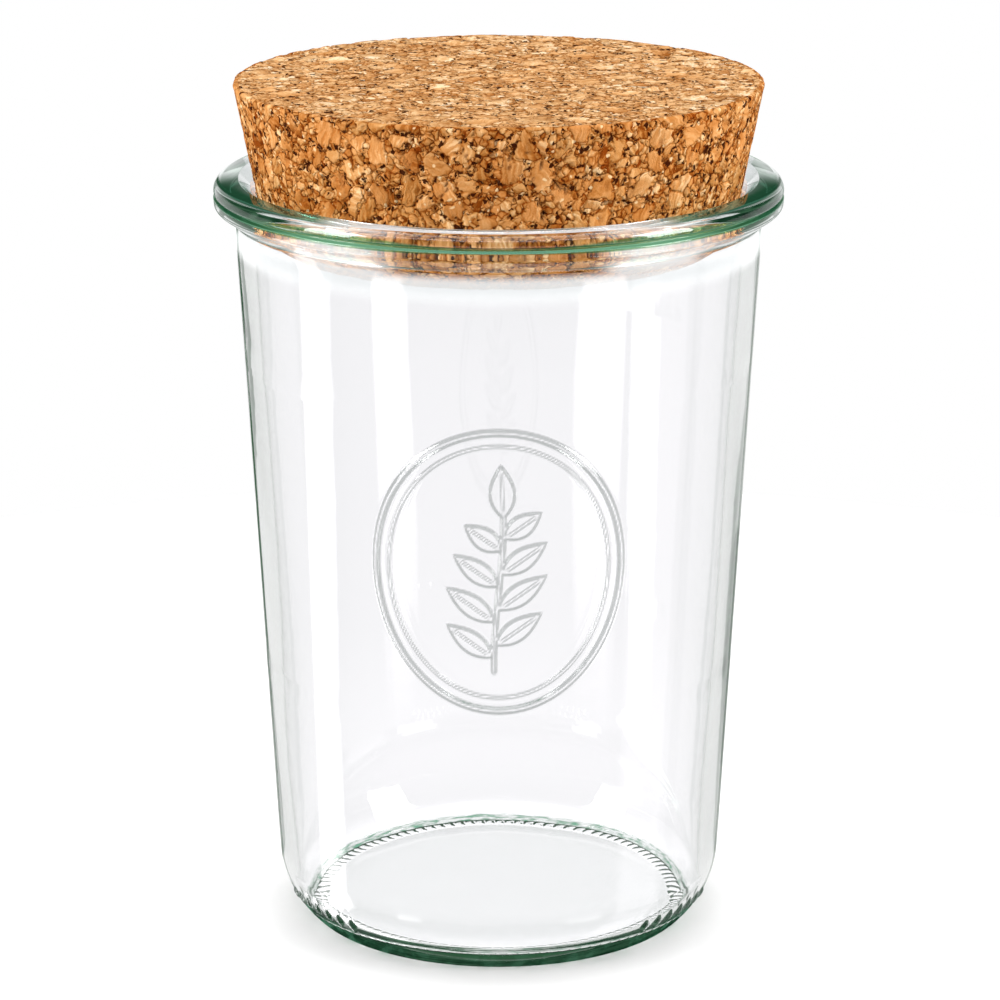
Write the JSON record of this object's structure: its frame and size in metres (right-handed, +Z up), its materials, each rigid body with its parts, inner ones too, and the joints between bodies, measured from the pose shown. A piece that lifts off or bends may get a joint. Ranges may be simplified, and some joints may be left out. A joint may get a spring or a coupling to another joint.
{
  "type": "glass jar with cork lid",
  "caption": "Tall, slightly tapered glass storage jar with a rounded bead round its rim, closed by a thick tapered cork lid with a sloped lower edge, which wedges into the mouth and pulls straight up.",
  "frame": {"origin": "centre of the base, on the surface that the jar stands on", "axes": "+Z up along the axis of the jar and lid, -Y towards the front, +X to the right as seen from the front"},
  "size_m": [0.109, 0.109, 0.166],
  "materials": {
    "glass": "clear pressed soda-lime glass, faintly green where it is thick",
    "cork": "matte agglomerated cork of coarse granules, cut and sanded"
  },
  "bodies": {
    "jar": {"glass_jar": "glass"},
    "lid": {"cork_lid": "cork"}
  },
  "joints": [
    {"name": "lid_lift", "type": "slide", "parent": "jar", "child": "lid", "axis": [0, 0, 1], "range_m": [0, 0.08]}
  ]
}
